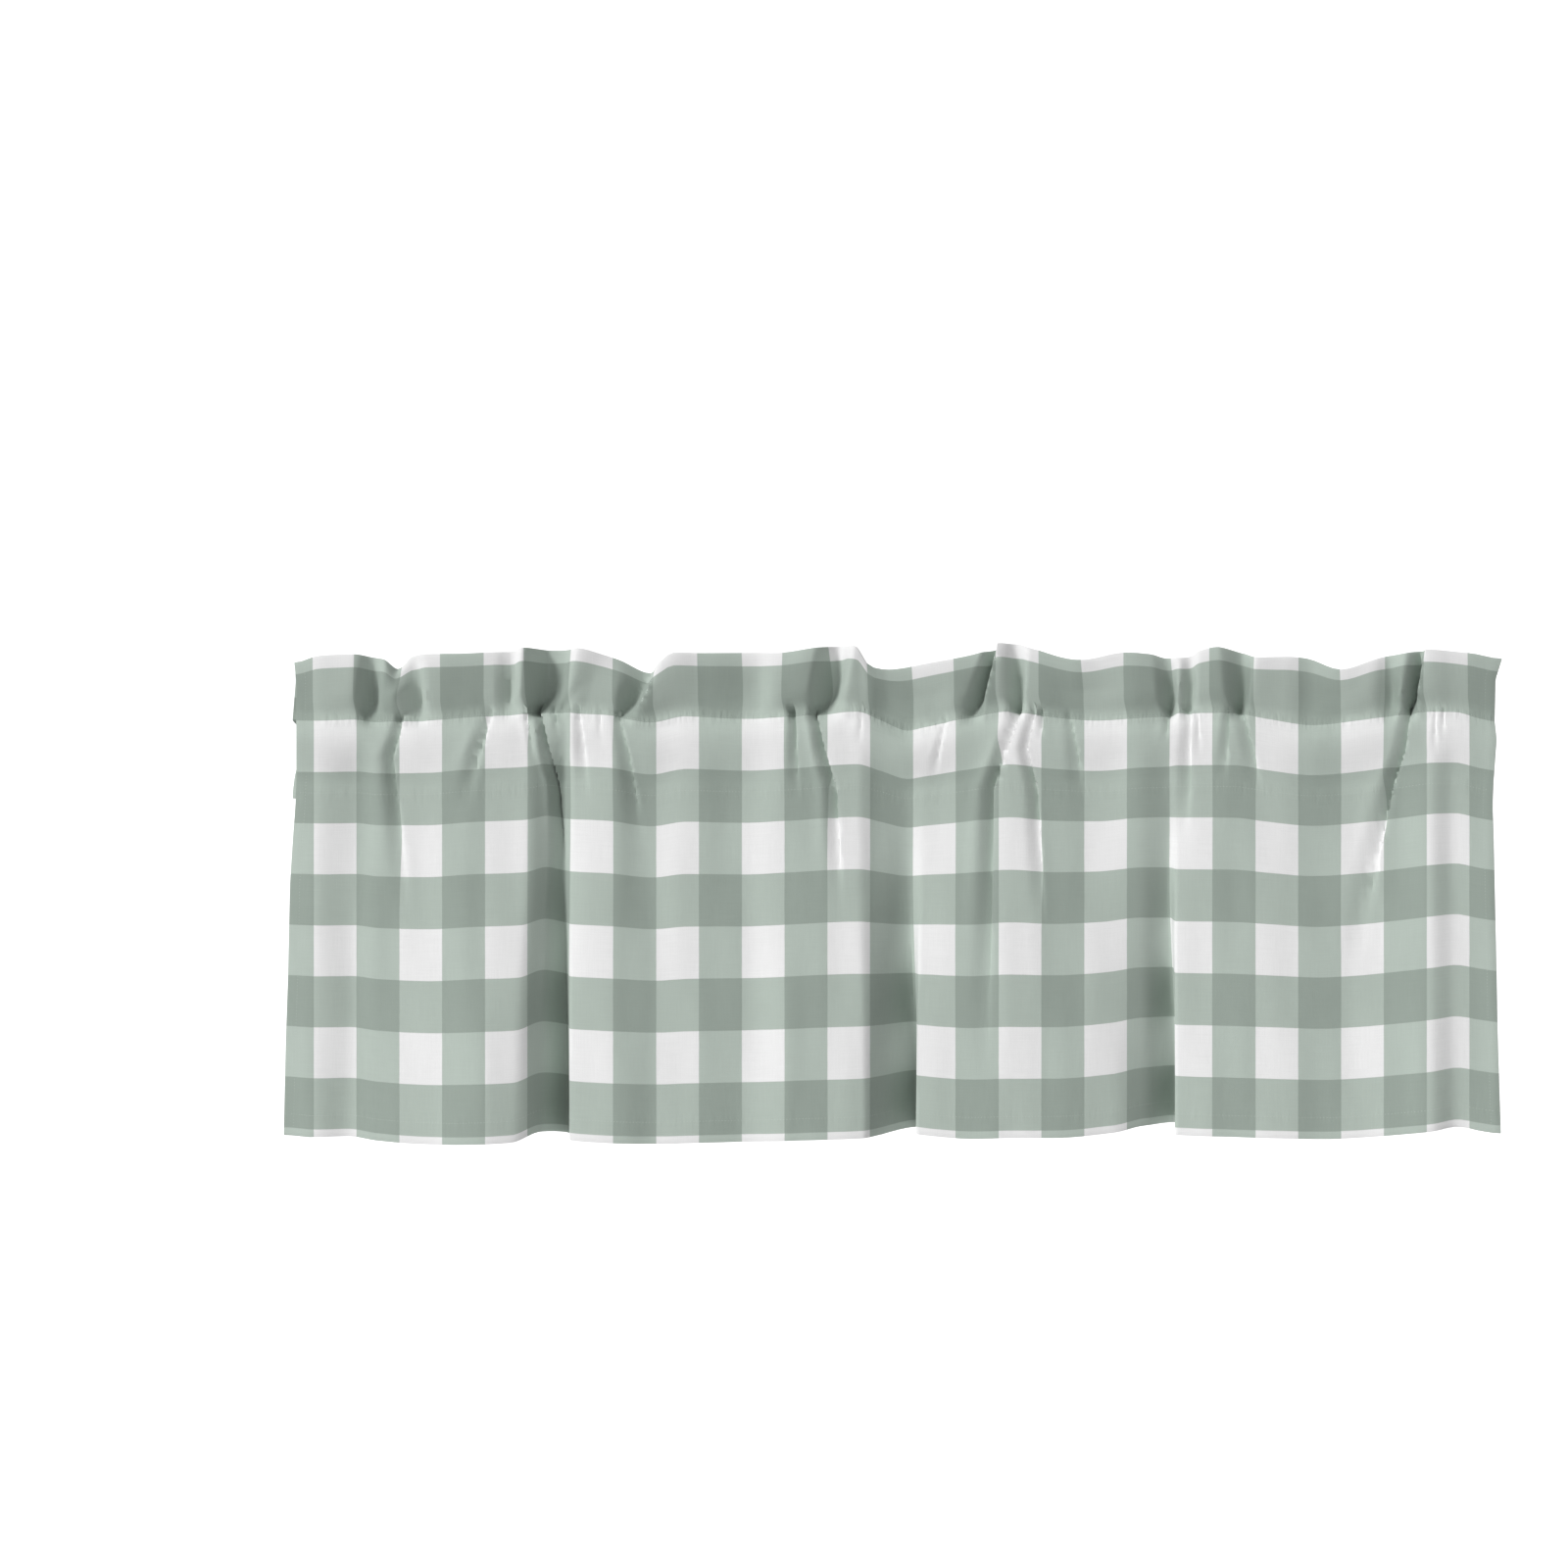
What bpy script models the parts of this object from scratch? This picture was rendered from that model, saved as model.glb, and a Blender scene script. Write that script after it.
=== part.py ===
"""Window valance: one width of gingham with a standing ruffle over an open rod pocket.

The cloth is two solids: the front panel, from the ruffle's top edge to the bottom hem, and the
strip turned over behind it, sewn down along an upper and a lower seam. The pocket between the
seams is kept clear for a straight rod.

Frame: origin on the rod's axis at mid-width, +X along the rod, front faces -Y, +Z up.
The tables are in millimetres. Depth is how far a place lies behind the rod's axis, so a crest
that stands forward has a negative depth.
"""
import math
import bpy
import bmesh
from mathutils import Vector

MM = 0.001

# Driving dimensions
HALF_WIDTH = 0.583        # hung half width at the bottom edge
LEFT_SIDE = 0.575         # left side of the panel at the pocket, from mid-width
RIGHT_SIDE = 0.579        # right side there
FLARE = 0.004             # how much wider each side hangs at the bottom edge
UPPER_SEAM = 0.022        # upper seam, above the rod's axis
POCKET = 0.070            # upper seam to lower seam
DROP = 0.400              # upper seam to the bottom edge
RUFFLE_CLOTH = 0.060      # length of cloth in the ruffle, upper seam to top edge
SEAM_ALLOWANCE = 0.006    # strip below the lower seam
STRIP_PEEK = 0.004        # how far the strip reaches past the panel's left side
CLOTH = 0.0014            # thickness of each sheet
GAP = 0.0004              # between the panel and the strip

# The rod's way through the pocket
ROD_ROOM = 0.0114         # clear in front of, behind and above the rod's axis
ROD_SLACK = 0.008         # how much further the way reaches below it
ROD_REACH = 0.018         # distance below the upper seam where the pocket is fullest
ROD_PASSED = 0.067        # and where the front is flat again under the rod

# How the cloth sits
TOP_SEAM = -0.011         # depth of both layers at the upper seam
LOW_SEAM = -0.002         # and at the lower seam, before its folds
SEAM_FOLLOW = 0.3         # share of the folds' depth that the upper seam follows
SEAM_HOLD = 0.5           # share of the ruffle's depth that is left at the upper seam
POCKET_SWELL = 0.005      # how far the cloth stands off the rod
POCKET_FULLNESS = 0.2     # and how much further its crests do, for their depth at the lower seam
CREST_LIMIT = 0.008       # folds deeper than this stand off no further
RUFFLE_LEAN = 0.013       # how far forward the top edge leans
BACK_SWELL = 0.003        # half height of the slow waves in the strip behind the rod
BACK_WAVE = 0.047         # length scale of those waves
SPLAY = 0.67              # sideways spread of the folds, for each metre of depth
OVERLAP = 0.20            # how far a valley runs in behind its steep right side, for its depth
OVERLAP_REACH = 0.025     # how far round such a side that is felt

# Mesh
COLUMNS = 79
PROBE = 0.0004            # step for measuring the cloth's slope

# Main folds, one row for each crest or floor, from the left side to the right.
# seam_x, hem_x: where it lies at the lower seam and at the bottom edge
# seam_depth, hem_depth: its depth there
# seam_sag, hem_sag: how far the cloth hangs below its level at the upper seam and bottom edge
FOLDS = (
    # seam_x, hem_x, seam_depth, hem_depth, seam_sag, hem_sag
    (-584, -584, 0, 6, 2, 0),
    (-548, -554, -8, -2, 3, 1),
    (-514, -522, -4, 3, 2, 1),
    (-492, -494, -8, -6, 4, 4),
    (-446, -446, -12, -16, 3, 6),
    (-406, -392, -16, -30, 0, 4),
    (-352, -366, -16, -27, -3, 3),
    (-332, -341, -8, -9, -5, -5),
    (-317, -319, 2, 21, -5, 0),
    (-308, -309, -10, -18, -4, 2),
    (-272, -264, -16, -24, -2, 4),
    (-232, -224, -10, -20, 5, 5),
    (-198, -192, -13, -21, -1, 4),
    (-133, -138, -11, -19, 1, 3),
    (-104, -98, -16, -28, 0, 1),
    (-34, -29, -16, -26, -5, -1),
    (-12, -11, -9, -9, 2, -2),
    (15, 14, -3, 33, 12, -4),
    (30, 21, -6, -10, 9, -3),
    (75, 75, -12, -16, 0, 1),
    (112, 112, -19, -18, -5, 0),
    (155, 155, -12, -16, 0, 0),
    (197, 212, -10, -10, 3, -4),
    (236, 241, -14, 6, 1, -9),
    (264, 262, -8, 36, -1, -8),
    (273, 269, -12, -10, -4, -2),
    (328, 320, -15, -15, -4, -1),
    (357, 374, -14, -19, 1, 0),
    (404, 415, -11, -17, 7, 1),
    (446, 440, -9, -17, 3, 0),
    (484, 474, -10, -22, -2, -3),
    (518, 518, -17, -30, -5, -8),
    (540, 543, -12, -20, -5, -11),
    (564, 564, -13, -21, 1, -8),
    (584, 584, -14, -24, 4, -6),
)

# Pleats that start in a pinch at the upper seam and die out down the cloth.
# seam_x, low_x, end_x: where the pleat lies at the upper seam, the lower seam and its end
PLEATS = (
    # seam_x, low_x, end_x, length, half_width, depth
    (-482, -480, -470, 190, 10, 9),
    (-400, -412, -414, 110, 12, 6),
    (-266, -254, -246, 110, 12, 7),
    (-76, -63, -55, 190, 8, 10),
    (119, 91, 83, 280, 9, 12),
    (127, 135, 141, 230, 9, 8),
    (282, 280, 274, 90, 9, 9),
    (333, 318, 310, 90, 10, 6),
    (495, 477, 455, 230, 9, 10),
)

# The ruffle, one row for each crest or hollow.
# seam_x, top_x: where it lies at the upper seam and at the top edge
# middle, top: its depth halfway up and at the top; height: the top edge above the upper seam
RUFFLE = (
    # seam_x, top_x, middle, top, height
    (-574, -574, 0, 0, 49),
    (-540, -537, -8, -6, 55),
    (-508, -507, 6, 2, 54),
    (-486, -482, -4, -2, 45),
    (-456, -460, 5, 3, 55),
    (-424, -424, -6, -6, 55),
    (-358, -353, -8, -10, 60),
    (-340, -328, 14, 12, 61),
    (-314, -300, -9, -8, 60),
    (-262, -250, 8, 8, 42),
    (-236, -209, -10, -8, 55),
    (-184, -184, -2, -4, 56),
    (-129, -131, 3, 0, 56),
    (-96, -75, -8, -8, 59),
    (-66, -55, 14, 10, 63),
    (-40, -37, -10, -12, 59),
    (-4, -4, 2, -2, 41),
    (45, 50, -2, -5, 50),
    (75, 94, 11, 7, 59),
    (98, 106, -7, -4, 64),
    (120, 121, 7, 2, 63),
    (140, 148, -8, -6, 58),
    (183, 185, -2, -8, 49),
    (235, 229, -8, -8, 55),
    (270, 258, 11, 2, 52),
    (310, 312, -8, -8, 61),
    (333, 332, 9, 4, 56),
    (356, 358, -5, -4, 51),
    (393, 393, 2, 0, 51),
    (430, 434, -1, -3, 41),
    (476, 478, -4, -4, 54),
    (497, 504, 13, 6, 59),
    (516, 520, -8, -6, 59),
    (580, 584, 0, 0, 52),
)


def mix(a, b, t):
    return a + (b - a) * t


def smooth(t):
    """Ease from 0 to 1 with a level start and end."""
    t = min(max(t, 0.0), 1.0)
    return t * t * (3.0 - 2.0 * t)


def slope_at(places, values, k):
    """Slope of a fold line at its place k: level at crests and floors, and running on elsewhere."""
    if k == 0 or k == len(places) - 1:
        return 0.0
    before = (values[k] - values[k - 1]) / (places[k] - places[k - 1])
    after = (values[k + 1] - values[k]) / (places[k + 1] - places[k])
    return 2.0 * before * after / (before + after) if before * after > 0.0 else 0.0


def between(places, values, x):
    """A fold line read at x, smooth through its places."""
    if x <= places[0]:
        return values[0]
    for k in range(len(places) - 1):
        if x <= places[k + 1]:
            step = places[k + 1] - places[k]
            t = (x - places[k]) / step
            start = slope_at(places, values, k) * (1.0 - t)
            end = slope_at(places, values, k + 1) * t
            return mix(values[k], values[k + 1], smooth(t)) + step * t * (1.0 - t) * (start - end)
    return values[-1]


def lean_at(down):
    """How far the folds have changed from the lower seam's to the bottom edge's."""
    return smooth((down - POCKET) / (DROP - POCKET))


def overlap_at(x, down):
    """1 at the valleys whose steep right side folds over them, falling to 0 either side."""
    lean = lean_at(down)
    total = 0.0
    for left, right in zip(FOLDS, FOLDS[1:]):
        if abs(right[3] - left[3]) > 2.0 * (right[1] - left[1]):
            centre = 0.5 * MM * mix(left[0] + right[0], left[1] + right[1], lean)
            total += math.exp(-((x - centre) / OVERLAP_REACH) ** 2)
    return total * min(2.5 * lean, 1.0)


def fold_at(x, down):
    """Depth at the lower seam, depth here, and sag, at x and a distance below the upper seam."""
    lean = lean_at(down)
    fall = math.sin(0.5 * math.pi * down / DROP)
    places = [mix(row[0], row[1], lean) * MM for row in FOLDS]
    seam_depth = between(places, [row[2] * MM for row in FOLDS], x)
    depth = between(places, [mix(row[2], row[3], lean) * MM for row in FOLDS], x)
    sag = between(places, [mix(row[4], row[5], fall) * MM for row in FOLDS], x)
    return seam_depth, depth, sag


def pleat_at(x, down):
    """Extra depth of the pinched pleats below the upper seam."""
    total = 0.0
    for seam_x, low_x, end_x, length, half_width, depth in PLEATS:
        along = down / (length * MM)
        if along >= 1.0:
            continue
        if down < POCKET:
            centre = mix(seam_x, low_x, down / POCKET)
        else:
            centre = mix(low_x, end_x, (down - POCKET) / (length * MM - POCKET))
        strength = mix(0.35, 1.0, smooth(4.0 * along)) * (1.0 - smooth(1.5 * along - 0.5))
        total += depth * MM * strength * math.exp(-((x / MM - centre) / half_width) ** 2)
    return total


def ruffle_at(x, up):
    """Depth of the ruffle at x, up being 0 at the upper seam and 1 at the top edge, and height."""
    top_share = max(2.0 * up - 1.0, 0.0)
    places = [mix(row[0], row[1], up) * MM for row in RUFFLE]
    depth = between(places, [mix(row[2], row[3], top_share) * MM for row in RUFFLE], x)
    height = between([row[1] * MM for row in RUFFLE], [row[4] * MM for row in RUFFLE], x)
    return depth, height


def rod_half_width(z):
    """Half width of the round-ended way for the rod at this height, below zero past its ends."""
    off = max(z, -ROD_SLACK - z, 0.0)
    return math.sqrt(max(ROD_ROOM ** 2 - off ** 2, 0.0)) - 2.0 * max(off - ROD_ROOM, 0.0)


def hung(x, y, z, fall):
    """A point of the cloth, with the folds spread a little and the sides widening downward."""
    side = x / HALF_WIDTH
    return Vector((x * (1.0 + SPLAY * y) + FLARE * smooth(fall) * side, y, z))


def ruffle_point(x, up):
    """A point of the panel's front face in the ruffle."""
    seam_depth, _, sag = fold_at(x, 0.0)
    depth, height = ruffle_at(x, up)
    y = TOP_SEAM + SEAM_FOLLOW * seam_depth - RUFFLE_LEAN * smooth(up)
    y += depth * mix(SEAM_HOLD, 1.0, smooth(1.8 * up))
    return hung(x, y, UPPER_SEAM + mix(-sag, height, up), 0.0)


def pocket_point(x, down):
    """A point of the panel's front face between the seams, round the front of the rod's way."""
    seam_depth, depth, sag = fold_at(x, down)
    at_seam = TOP_SEAM + SEAM_FOLLOW * seam_depth + SEAM_HOLD * ruffle_at(x, 0.0)[0]
    fullness = POCKET_SWELL + POCKET_FULLNESS * max(CREST_LIMIT - seam_depth, 0.0)
    at_rod = -(ROD_ROOM + CLOTH) - fullness
    at_low_seam = LOW_SEAM + seam_depth
    z = UPPER_SEAM - sag - down
    if down < ROD_REACH:
        y = mix(at_seam, at_rod, math.sin(0.5 * math.pi * down / ROD_REACH))
    else:
        flat = smooth((down - ROD_REACH) / (ROD_PASSED - ROD_REACH))
        y = mix(at_rod, at_low_seam, flat) + flat * pleat_at(x, down)
    return hung(x, min(y, -rod_half_width(z) - CLOTH), z, down / DROP)


def front_point(x, down):
    """A point of the panel's front face; down is below zero in the ruffle."""
    if down < 0.0:
        return ruffle_point(x, -down / RUFFLE_CLOTH)
    if down < POCKET:
        return pocket_point(x, down)
    _, depth, sag = fold_at(x, down)
    y = LOW_SEAM + depth + pleat_at(x, down)
    place = hung(x, y, UPPER_SEAM - sag - down, down / DROP)
    place.x += OVERLAP * overlap_at(x, down) * y
    return place


def behind(point, x, down):
    """Direction from the front face into the cloth, square to it."""
    across = point(x + PROBE, down) - point(x - PROBE, down)
    along = point(x, down + PROBE) - point(x, down - PROBE)
    return across.cross(along).normalized()


def strip_point(x, down):
    """A point of the strip's front face: against the panel at the ruffle and the seams, and
    round the back of the rod's way between them."""
    place = front_point(x, down) + behind(front_point, x, down) * (CLOTH + GAP)
    if 0.0 < down < POCKET:
        swell = math.sin(math.pi * (down / POCKET) ** 0.6) ** 1.2
        fullest = ROD_ROOM + CLOTH + BACK_SWELL * (1.0 + math.sin(x / BACK_WAVE))
        place.y = max(mix(place.y, fullest, swell), rod_half_width(place.z))
    return place


def column_places():
    """Places along the rod, closer together where the ruffle or a valley turns sharply."""
    sharp = [row[0] * MM for row in RUFFLE if abs(row[2]) > 8]
    for left, right in zip(FOLDS, FOLDS[1:]):
        if abs(right[3] - left[3]) > 2.0 * (right[1] - left[1]):
            sharp.append(right[1] * MM)
    fine = [mix(-LEFT_SIDE, RIGHT_SIDE, i / 1200) for i in range(1201)]
    weights = [1.0 + 1.3 * sum(math.exp(-((x - s) / 0.016) ** 2) for s in sharp) for x in fine]
    share = sum(weights) / COLUMNS
    places = [fine[0]]
    run = 0.0
    for x, weight in zip(fine, weights):
        run += weight
        if run >= share * len(places) and len(places) < COLUMNS:
            places.append(x)
    return places + [fine[-1]]


def closed_sheet(name, point, places, downs):
    """A sheet of even thickness behind point(x, down), closed round its four edges."""
    mesh = bmesh.new()
    front = []
    back = []
    for down in downs:
        front.append([mesh.verts.new(point(x, down)) for x in places])
        back.append([mesh.verts.new(point(x, down) + behind(point, x, down) * CLOTH)
                     for x in places])
    last_row = len(downs) - 1
    last = len(places) - 1
    for j in range(last_row):
        for i in range(last):
            mesh.faces.new((front[j][i], front[j + 1][i], front[j + 1][i + 1], front[j][i + 1]))
            mesh.faces.new((back[j][i], back[j][i + 1], back[j + 1][i + 1], back[j + 1][i]))
        mesh.faces.new((front[j + 1][0], front[j][0], back[j][0], back[j + 1][0]))
        mesh.faces.new((front[j][last], front[j + 1][last], back[j + 1][last], back[j][last]))
    for i in range(last):
        mesh.faces.new((front[0][i], front[0][i + 1], back[0][i + 1], back[0][i]))
        mesh.faces.new((front[last_row][i + 1], front[last_row][i], back[last_row][i],
                        back[last_row][i + 1]))
    bmesh.ops.triangulate(mesh, faces=mesh.faces[:], quad_method="FIXED")
    data = bpy.data.meshes.new(name)
    mesh.to_mesh(data)
    mesh.free()
    data.shade_smooth()
    sheet = bpy.data.objects.new(name, data)
    bpy.context.scene.collection.objects.link(sheet)
    return sheet


def dye(sheet, name, colour):
    """Matt cotton in the gingham's mean colour."""
    material = bpy.data.materials.new(name)
    material.use_nodes = True
    shader = material.node_tree.nodes["Principled BSDF"]
    shader.inputs["Base Color"].default_value = (*colour, 1.0)
    shader.inputs["Roughness"].default_value = 0.9
    shader.inputs["Metallic"].default_value = 0.0
    sheet.data.materials.append(material)


def clear_scene():
    for thing in list(bpy.data.objects):
        bpy.data.objects.remove(thing)


RUFFLE_ROWS = [-RUFFLE_CLOTH * share for share in (1.0, 0.72, 0.45, 0.2)]
POCKET_ROWS = [0.0, 0.004, 0.010, ROD_REACH, 0.030, 0.042, 0.056, POCKET]
STRIP_END = POCKET + SEAM_ALLOWANCE
DROP_ROWS = [STRIP_END] + [mix(POCKET, DROP, share) for share in (0.15, 0.33, 0.54, 0.77, 1.0)]


def build_panel():
    rows = RUFFLE_ROWS + POCKET_ROWS + DROP_ROWS
    panel = closed_sheet("valance_panel", front_point, column_places(), rows)
    dye(panel, "sage_gingham", (0.50, 0.57, 0.52))


def build_strip():
    places = column_places()
    places.insert(0, places[0] - STRIP_PEEK)
    rows = RUFFLE_ROWS + POCKET_ROWS + [STRIP_END]
    strip = closed_sheet("pocket_strip", strip_point, places, rows)
    dye(strip, "sage_gingham_turned", (0.46, 0.53, 0.48))


clear_scene()
build_panel()
build_strip()
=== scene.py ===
import math
import bpy
import numpy as np
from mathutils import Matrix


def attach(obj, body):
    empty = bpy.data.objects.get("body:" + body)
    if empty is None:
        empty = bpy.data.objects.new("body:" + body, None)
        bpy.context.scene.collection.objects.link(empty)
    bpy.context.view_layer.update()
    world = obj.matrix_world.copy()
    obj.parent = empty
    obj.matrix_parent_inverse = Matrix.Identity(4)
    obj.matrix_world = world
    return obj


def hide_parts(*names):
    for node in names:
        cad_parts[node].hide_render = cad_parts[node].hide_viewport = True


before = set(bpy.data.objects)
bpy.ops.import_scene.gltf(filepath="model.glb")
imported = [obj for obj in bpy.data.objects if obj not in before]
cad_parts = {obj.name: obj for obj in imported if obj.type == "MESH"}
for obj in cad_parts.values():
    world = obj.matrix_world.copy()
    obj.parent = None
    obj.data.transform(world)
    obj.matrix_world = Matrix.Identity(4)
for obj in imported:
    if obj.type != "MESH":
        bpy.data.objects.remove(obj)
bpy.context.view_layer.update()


# ---- The cloth -------------------------------------------------------------------------------
# One cut of sage and white woven gingham, a light cotton. Its sides and bottom are hemmed, and
# its top is turned over to the back and sewn down along two lines: the ruffle stands above the
# upper one, and the rod's pocket lies between the two. It is gathered a little on the rod.

# x runs along the rod, and "down" is the distance down the cloth from the upper seam.
MM = 0.001
UPPER_SEAM = 0.022       # upper seam, above the rod's axis
POCKET = 0.070           # upper seam to lower seam
DROP = 0.400             # upper seam to bottom edge
RUFFLE_CLOTH = 0.060     # upper seam to top edge
ALLOWANCE = 0.0055       # turned cloth below the lower seam
BOTTOM_HEM = 0.020
SIDE_HEM = 0.011
THICK = 0.00045          # the cloth itself
LAYERS = 0.0010          # from one face to the other of two layers together
HEM_STEP = 0.0011        # extra room where both layers have a side hem
HEM_FADE = 0.012         # and how gradually it is given up beside the hem

ROD_ROOM = 0.0114        # clear round the rod's axis
ROD_SLACK = 0.008        # how much further the clear way reaches below it
ROD_REACH = 0.018        # down to where the pocket is fullest
ROD_PASSED = 0.064       # down to where the front lies flat again
ROD_SOFT = 0.003         # how softly the cloth gives way where it would touch the rod
CLEAR = 0.0014           # cloth's face to the rod's way
POCKET_SWELL = 0.005     # how far the front of the pocket stands off the rod
POCKET_FULLNESS = 0.2    # and how much further its crests do, for their depth
CREST_LIMIT = 0.008      # a valley deeper than this has no such fullness
BACK_SWELL = 0.003       # the same of the pocket's back, and its waves along the rod
BACK_WAVE = 0.047
SWELL_HIGH = 0.6         # below 1, the back is fullest above the pocket's middle
SWELL_POINT = 1.2        # above 1, it starts more gently at the two seams
BACK_RIPPLE = 0.0012     # smaller ripples on it, and their two wavelengths
RIPPLE_WAVE = 0.0083
RIPPLE_DRIFT = 0.031
DRIFT = 1.3              # how far the long one shifts the short one

TOP_SEAM = -0.011        # depth of the upper seam
LOW_SEAM = -0.002        # and of the lower one, before its folds
SEAM_FOLLOW = 0.3        # share of the folds' depth that the upper seam follows
SEAM_HOLD = 0.5          # share of the ruffle's depth that is left at the upper seam
HOLD_BELOW = 0.014       # and how far below the seam that dies out
PINCH_BELOW = 0.008      # the same of the small creases
PLEAT_ABOVE = 0.012      # how far above the seam a pleat dies out
TUCK_ABOVE = 0.020       # and how far above it its floor still runs in sideways
RUFFLE_LEAN = 0.013      # how far forward the ruffle's top edge leans
RUFFLE_DIP = 0.0012      # how far the ruffle falls back just above its stitches
DIP_UP = 0.12            # where it falls back most, as a share of its height
FREE_UP = 2.6            # from 1 / FREE_UP of its height up, the ruffle has its own depth
RUFFLE_TUCK = 0.6        # how far its hollows run in sideways, for their depth
TUCK_UP = 3.0            # they do so fully from 1 / TUCK_UP of its height up

SPLAY = 0.67             # how far a crest spreads and a valley draws in, for its depth
STEEP = 3.0              # how much narrower a pleat's right flank is
LATE = 0.4               # its floor lies this far to the right, in half widths
SHOULDER = 0.4           # how high the shoulder on its left stands, of the pleat's depth
SHOULDER_WIDTH = 2.2     # in half widths
SHOULDER_END = 0.9       # the shoulder ends this far to the right, in half widths
PLEAT_SPREAD = (0.6, 1.5)    # how wide a pleat is at its two ends, in its own half widths
PLEAT_START = 0.030      # down to where a pleat has gone from its seam_depth to its depth
PINCH_SPREAD = (0.8, 2.4)    # how wide a small crease is at its two ends, in the same way
TUCK = 0.70              # how far a pleat's floor runs in behind its right side, for its depth
OVERLAP = 0.20           # the same of the valleys that have a steep right side
OVERLAP_REACH = 0.025
OVERLAP_START = 2.5      # they overlap fully by 1 / OVERLAP_START of the way down
STEEP_SIDE = 2.0         # a side is steep if it goes in this much more than it runs along

# Main folds in mm, lying close to those of the solids, one row for each crest or floor: where it
# is, how deep, and how far the cloth sags there, at the upper seam and at the bottom edge.
FOLDS = np.array((
    # seam_x, hem_x, seam_depth, hem_depth, seam_sag, hem_sag
    (-584, -584, 0, 6, 2, 0),
    (-548, -554, -8, -2, 3, 1),
    (-514, -522, -4, 3, 2, 1),
    (-492, -494, -8, -6, 4, 4),
    (-446, -446, -12, -16, 3, 6),
    (-406, -392, -16, -30, 0, 4),
    (-352, -366, -16, -27, -3, 3),
    (-330, -337, -8, -9, -5, -5),
    (-315, -315, 2, 21, -5, 0),
    (-306, -305, -10, -18, -4, 2),
    (-272, -264, -16, -24, -2, 4),
    (-232, -224, -10, -20, 5, 5),
    (-198, -192, -13, -21, -1, 4),
    (-142, -138, -10, -19, 1, 3),
    (-104, -98, -16, -28, 0, 1),
    (-34, -29, -16, -26, -5, -1),
    (-12, -11, -9, -9, 2, -2),
    (15, 19, -4, 33, 12, -4),
    (31, 26, -6, -12, 9, -3),
    (75, 75, -12, -15, 0, 1),
    (112, 112, -17, -17, -5, 0),
    (155, 155, -12, -16, 0, 0),
    (197, 212, -10, -10, 3, -4),
    (236, 243, -14, 5, 1, -9),
    (265, 267, -10, 36, -1, -8),
    (275, 274, -12, -10, -4, -2),
    (328, 320, -15, -15, -4, -1),
    (357, 374, -14, -19, 1, 0),
    (404, 415, -11, -17, 7, 1),
    (446, 440, -9, -17, 3, 0),
    (484, 474, -10, -22, -2, -3),
    (518, 518, -17, -30, -5, -8),
    (540, 543, -12, -20, -5, -11),
    (564, 564, -13, -21, 1, -8),
    (584, 584, -14, -24, 4, -6),
)) * MM

# Pleats that start in a pinch at the upper seam and die out down the cloth, in mm. The places
# are at the upper seam, halfway down the pocket, at the lower seam and at the pleat's end.
PLEATS = (
    # seam_x, middle_x, low_x, end_x, length, half_width, seam_depth, depth
    (-474, -485, -482, -470, 200, 8, 7, 8),
    (-388, -402, -412, -416, 95, 8, 5, 7),
    (-353, -347, -343, -340, 50, 2.5, 3.5, 3),
    (-341, -334, -324, -318, 150, 4.5, 11, 16),
    (-325, -322, -321, -320, 25, 2.5, 4, 2),
    (-303, -300, -298, -296, 90, 6, 4, 5),
    (-282, -281, -280, -280, 30, 3, 2, 2),
    (-266, -259, -253, -246, 120, 8, 4, 7),
    (-96, -96, -95, -94, 85, 5, 7, 6),
    (-77, -70, -60, -54, 190, 6, 10, 12),
    (-30, -34, -36, -37, 35, 3, 2.5, 2),
    (49, 41, 36, 33, 60, 4, 2.5, 3),
    (119, 105, 91, 83, 340, 8, 10, 10),
    (134, 125, 134, 142, 220, 6, 6, 8),
    (142, 142, 143, 143, 25, 2.5, 5, 3),
    (168, 173, 176, 178, 85, 7, 4, 5),
    (262, 261, 261, 261, 30, 3, 3, 2),
    (284, 281, 280, 274, 120, 7, 4, 6),
    (292, 293, 290, 288, 45, 3, 3, 3),
    (320, 318, 314, 312, 70, 5, 5, 5),
    (333, 341, 347, 350, 80, 7, 4, 5),
    (492, 487, 474, 432, 260, 8, 9, 9),
    (521, 520, 519, 518, 45, 2.5, 3, 3),
    (528, 527, 526, 526, 30, 2.5, 2.5, 2),
)

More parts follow.
